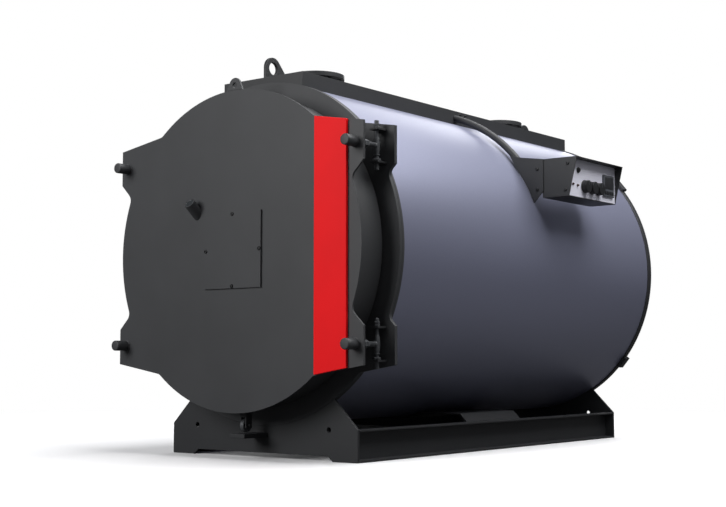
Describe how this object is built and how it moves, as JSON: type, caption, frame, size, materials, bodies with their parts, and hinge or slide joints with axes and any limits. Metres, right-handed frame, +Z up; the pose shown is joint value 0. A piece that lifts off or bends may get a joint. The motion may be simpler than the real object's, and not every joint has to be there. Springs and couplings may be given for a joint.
{
  "type": "industrial hot-water boiler",
  "caption": "Horizontal drum boiler on a steel skid, with a hinged round front door, a side control box, top pipe flanges and a rear flue spigot.",
  "frame": {"origin": "on the floor, under the middle plate of the skid, on the boiler's centre line", "axes": "+Z up, +Y from the front door towards the flue, +X towards the side with the control box"},
  "size_m": [1.536, 2.555, 1.621],
  "materials": {
    "door_paint": "satin anthracite powder coat",
    "frame_paint": "satin black powder coat",
    "jacket_sheet": "satin blue-grey coated sheet",
    "accent_red": "smooth red powder coat",
    "boiler_plate": "mill steel, matt heat-resistant paint",
    "fasteners": "blackened steel",
    "knob_black": "black",
    "refractory": "cast refractory",
    "sight_glass": "clear",
    "panel_sheet": "light lacquered front sheet",
    "dial_black": "moulded",
    "controller_black": "moulded",
    "gland_black": "moulded",
    "roller_steel": "turned"
  },
  "bodies": {
    "boiler": {"jacket": "jacket_sheet", "front_band": "frame_paint", "rear_band": "frame_paint", "rear_plate": "boiler_plate", "front_flange": "boiler_plate", "furnace_tube": "boiler_plate", "furnace_end": "boiler_plate", "smokebox": "frame_paint", "flue_spigot": "frame_paint", "rear_clips": "frame_paint", "skid_front_plate": "frame_paint", "skid_rear_plate": "frame_paint", "skid_middle_plate": "frame_paint", "saddle": "frame_paint", "skid_beam_left": "frame_paint", "skid_beam_right": "frame_paint", "top_rail": "frame_paint", "flow_nozzle": "frame_paint", "return_nozzle": "frame_paint", "front_lifting_lug": "frame_paint", "rear_lifting_lug": "frame_paint", "hinge_rods": "fasteners", "hinge_tabs": "frame_paint", "clamp_rods": "fasteners", "clamp_tabs": "frame_paint", "clamp_eye_bolts": "fasteners", "roller_shelf": "frame_paint", "control_arm": "frame_paint", "arm_bracket": "frame_paint", "control_box": "frame_paint", "control_panel": "panel_sheet", "temperature_controller": "controller_black", "cable_gland": "gland_black"},
    "front_door": {"door_plate": "door_paint", "door_drum": "door_paint", "door_lining": "refractory", "burner_plate": "door_paint", "accent_strip": "accent_red", "sight_tube": "door_paint", "sight_glass": "sight_glass", "door_lug": "door_paint", "door_knobs": "knob_black", "hinge_eye_bolts": "fasteners", "roller_fork": "frame_paint"},
    "roller_wheel": {"support_roller": "roller_steel"},
    "near_thermostat": {"near_dial": "dial_black"},
    "middle_thermostat": {"middle_dial": "dial_black"},
    "far_thermostat": {"far_dial": "dial_black"}
  },
  "joints": [
    {"name": "door_hinge", "type": "hinge", "parent": "boiler", "child": "front_door", "pos_m": [0.60688, -1.075, 0.816], "axis": [0, 0, 1], "range_deg": [0, 105]},
    {"name": "roller_spin", "type": "hinge", "parent": "front_door", "child": "roller_wheel", "pos_m": [0, -1.125, 0.131], "axis": [1, 0, 0], "continuous": true},
    {"name": "near_dial_turn", "type": "hinge", "parent": "boiler", "child": "near_thermostat", "pos_m": [0.808, 0.167, 1.143], "axis": [1, 0, 0], "range_deg": [0, 270]},
    {"name": "middle_dial_turn", "type": "hinge", "parent": "boiler", "child": "middle_thermostat", "pos_m": [0.808, 0.229, 1.143], "axis": [1, 0, 0], "range_deg": [0, 270]},
    {"name": "far_dial_turn", "type": "hinge", "parent": "boiler", "child": "far_thermostat", "pos_m": [0.808, 0.291, 1.143], "axis": [1, 0, 0], "range_deg": [0, 270]}
  ]
}
